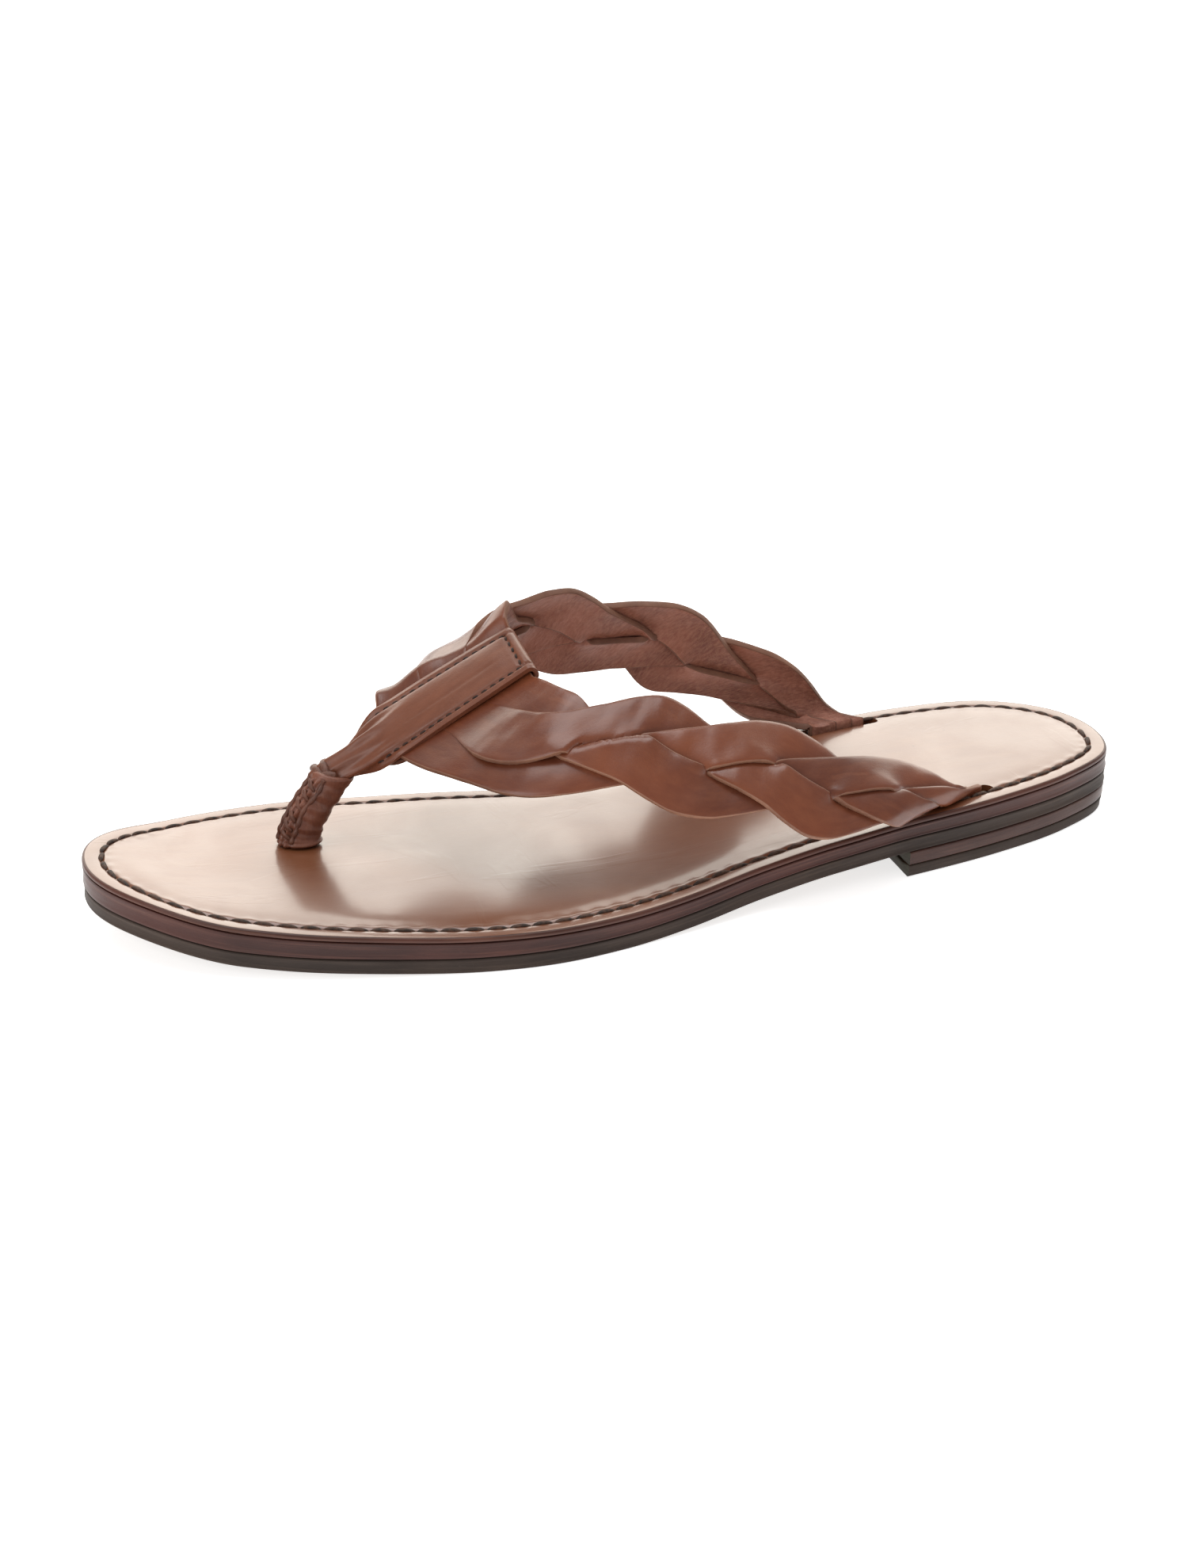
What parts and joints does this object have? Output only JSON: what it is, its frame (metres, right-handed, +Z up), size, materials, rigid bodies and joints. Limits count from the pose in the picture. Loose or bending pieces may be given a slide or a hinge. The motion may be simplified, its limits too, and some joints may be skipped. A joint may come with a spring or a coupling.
{
  "type": "thong sandal",
  "caption": "Flat leather thong sandal for the left foot with braided straps, a toe bar over a laced toe post, a stacked sole and a low heel.",
  "frame": {"origin": "on the ground, under the middle of the sole's length and width", "axes": "+X towards the toe, +Y to the outer (little toe) side of the left foot, +Z up"},
  "size_m": [0.2618, 0.0922, 0.0616],
  "materials": {
    "sole_rubber": "matt, grey-brown, scuffed",
    "edge_leather": "burnished dark reddish-brown edge",
    "footbed_leather": "glossy brown, reflects its surroundings",
    "strap_leather": "glossy brown outside, matt darker inside",
    "bar_leather": "tan, semi-matt, creased",
    "post_leather": "dark brown, creased",
    "lace_leather": "narrow cut thong, matt",
    "lining_leather": "matt suede side",
    "sole_thread": "waxed linen thread",
    "bar_thread": "fine waxed thread",
    "foam": "matt foam",
    "steel": "satin"
  },
  "bodies": {
    "root": {"outsole": "sole_rubber", "midsole": "edge_leather", "shank": "steel", "cushion_pad": "foam", "sock": "footbed_leather", "sock_stitching": "sole_thread", "heel_lift": "edge_leather", "heel_top_piece": "sole_rubber", "heel_nail_1": "steel", "heel_nail_2": "steel", "heel_nail_3": "steel", "heel_nail_4": "steel", "heel_nail_5": "steel", "lateral_strap": "strap_leather", "medial_strap": "strap_leather", "lateral_tail_tack_1": "steel", "lateral_tail_tack_2": "steel", "medial_tail_tack_1": "steel", "medial_tail_tack_2": "steel", "toe_post_anchor_tack": "steel", "toe_bar": "bar_leather", "toe_bar_lining": "lining_leather", "toe_bar_stitching": "bar_thread", "toe_post_core": "lining_leather", "toe_post_sleeve": "post_leather", "toe_post_lacing": "lace_leather"}
  },
  "joints": []
}
